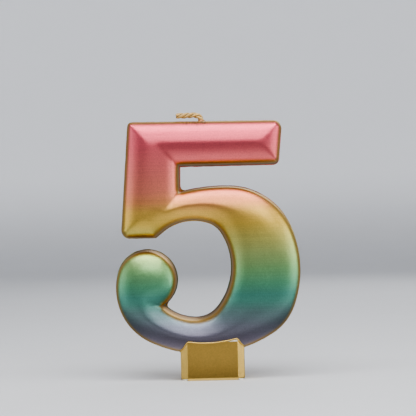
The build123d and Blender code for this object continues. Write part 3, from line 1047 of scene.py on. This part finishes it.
def make_sweep():
    """Pale floor that curves up into a pale backdrop all the way round, the backdrop glowing with painted
    light.
    """
    material, shader, add, link = node_kit("pale_paper")
    where = add("ShaderNodeTexCoord")
    grain = add("ShaderNodeTexNoise", Scale=30.0, Detail=4.0)
    link(where.outputs["Object"], grain.inputs["Vector"])
    link(mix(add, link, grain.outputs["Fac"], (0.70, 0.71, 0.73), (0.73, 0.74, 0.76)),
         shader.inputs["Base Color"])
    shader.inputs["Roughness"].default_value = 0.85
    shader.inputs["Specular IOR Level"].default_value = 0.2
    height = add("ShaderNodeSeparateXYZ")
    link(where.outputs["Object"], height.inputs[0])
    # Painted light: the backdrop glows faintly bluish white, rising from nothing at the floor to full
    # strength 10 cm up.
    wall_glow = add("ShaderNodeMapRange", interpolation_type="SMOOTHSTEP")
    wall_glow.inputs["From Min"].default_value = 0.0
    wall_glow.inputs["From Max"].default_value = 0.10
    wall_glow.inputs["To Max"].default_value = WALL_GLOW
    link(height.outputs["Z"], wall_glow.inputs["Value"])
    shader.inputs["Emission Color"].default_value = (0.93, 0.95, 1.0, 1)
    link(wall_glow.outputs["Result"], shader.inputs["Emission Strength"])
    profile = [(r, 0.0) for r in np.linspace(0.0, SWEEP_FLAT, 9)[1:]]
    for a in np.linspace(0, math.pi / 2, 14)[1:]:
        profile.append((SWEEP_FLAT + SWEEP_CURVE * math.sin(a),
                        SWEEP_CURVE - SWEEP_CURVE * math.cos(a)))
    profile.append((SWEEP_FLAT + SWEEP_CURVE, SWEEP_TOP))
    turns = np.linspace(0, 2 * math.pi, 65)[:-1]
    verts = [(r * math.cos(t), r * math.sin(t), z) for r, z in profile for t in turns]
    n, m = len(turns), len(profile)
    verts.append((0.0, 0.0, 0.0))
    faces = [(n * m, k, (k + 1) % n) for k in range(n)]
    for i in range(m - 1):
        for k in range(n):
            q = (k + 1) % n
            faces.append((n * i + k, n * (i + 1) + k, n * (i + 1) + q, n * i + q))
    piece = new_piece("floor_sweep", verts, faces, material)
    piece.visible_glossy = False


def area_light(name, place, target, size, power):
    """A softbox that the camera doesn't see."""
    data = bpy.data.lights.new(name, "AREA")
    data.shape = "RECTANGLE"
    data.size, data.size_y = size
    data.energy = power
    lamp = bpy.data.objects.new(name, data)
    bpy.context.scene.collection.objects.link(lamp)
    lamp.visible_camera = False
    lamp.location = place
    lamp.rotation_euler = (Vector(target) - Vector(place)).to_track_quat("-Z", "Y").to_euler()


make_sweep()
HEART = (0.0, 0.0, 0.05)
area_light("top_softbox", (0.0, -0.17, 0.50), HEART, (0.60, 0.20), 1.9)
area_light("front_softbox", (0.10, -0.44, 0.36), HEART, (0.55, 0.26), 1.1)
area_light("left_softbox", (-0.50, -0.14, 0.12), (0.0, 0.0, 0.12), (0.28, 0.40), 0.42)
area_light("right_softbox", (0.50, -0.14, 0.12), (0.0, 0.0, 0.12), (0.28, 0.40), 0.75)
area_light("rear_fill", (0.16, 0.52, 0.34), HEART, (0.40, 0.30), 0.55)
area_light("bounce_card", (0.0, -0.065, 0.001), (0.0, -0.065, 1.0), (0.30, 0.075), 0.035)

# the sky is brighter straight down, as a pale floor would look in the lacquer
world = bpy.data.worlds.new("studio")
bpy.context.scene.world = world
world.use_nodes = True
sky = world.node_tree
aim = sky.nodes.new("ShaderNodeTexCoord")
aim_parts = sky.nodes.new("ShaderNodeSeparateXYZ")
sky.links.new(aim.outputs["Generated"], aim_parts.inputs[0])
downward = sky.nodes.new("ShaderNodeMapRange")
downward.interpolation_type = "SMOOTHSTEP"
downward.inputs["From Min"].default_value = -0.75
downward.inputs["From Max"].default_value = -0.98
downward.inputs["To Min"].default_value = 0.40
downward.inputs["To Max"].default_value = 1.70
sky.links.new(aim_parts.outputs["Z"], downward.inputs["Value"])
sky.nodes["Background"].inputs[0].default_value = (0.58, 0.58, 0.59, 1)
sky.links.new(downward.outputs["Result"], sky.nodes["Background"].inputs[1])

CAMERA_AT = 0.480                  # in front of the flat back
VIEW_WIDTH = 416 * 0.330 * MM      # at the flat back
CAMERA_ROLL = 1.4
camera_data = bpy.data.cameras.new("camera")
camera_data.sensor_width = 36.0
camera_data.lens = 36.0 * CAMERA_AT / VIEW_WIDTH
camera_data.clip_start = 0.01
camera = bpy.data.objects.new("camera", camera_data)
bpy.context.scene.collection.objects.link(camera)
camera.location = (-0.32 * MM, BACK_Y * MM - CAMERA_AT, (56.98 + DROP) * MM)
camera.rotation_euler = (Matrix.Rotation(math.radians(CAMERA_ROLL), 3, "Y")
                         @ Matrix.Rotation(math.radians(90), 3, "X")).to_euler()
bpy.context.scene.camera = camera

view = bpy.context.scene.view_settings
view.view_transform = "AgX"
view.look = "AgX - Medium High Contrast"
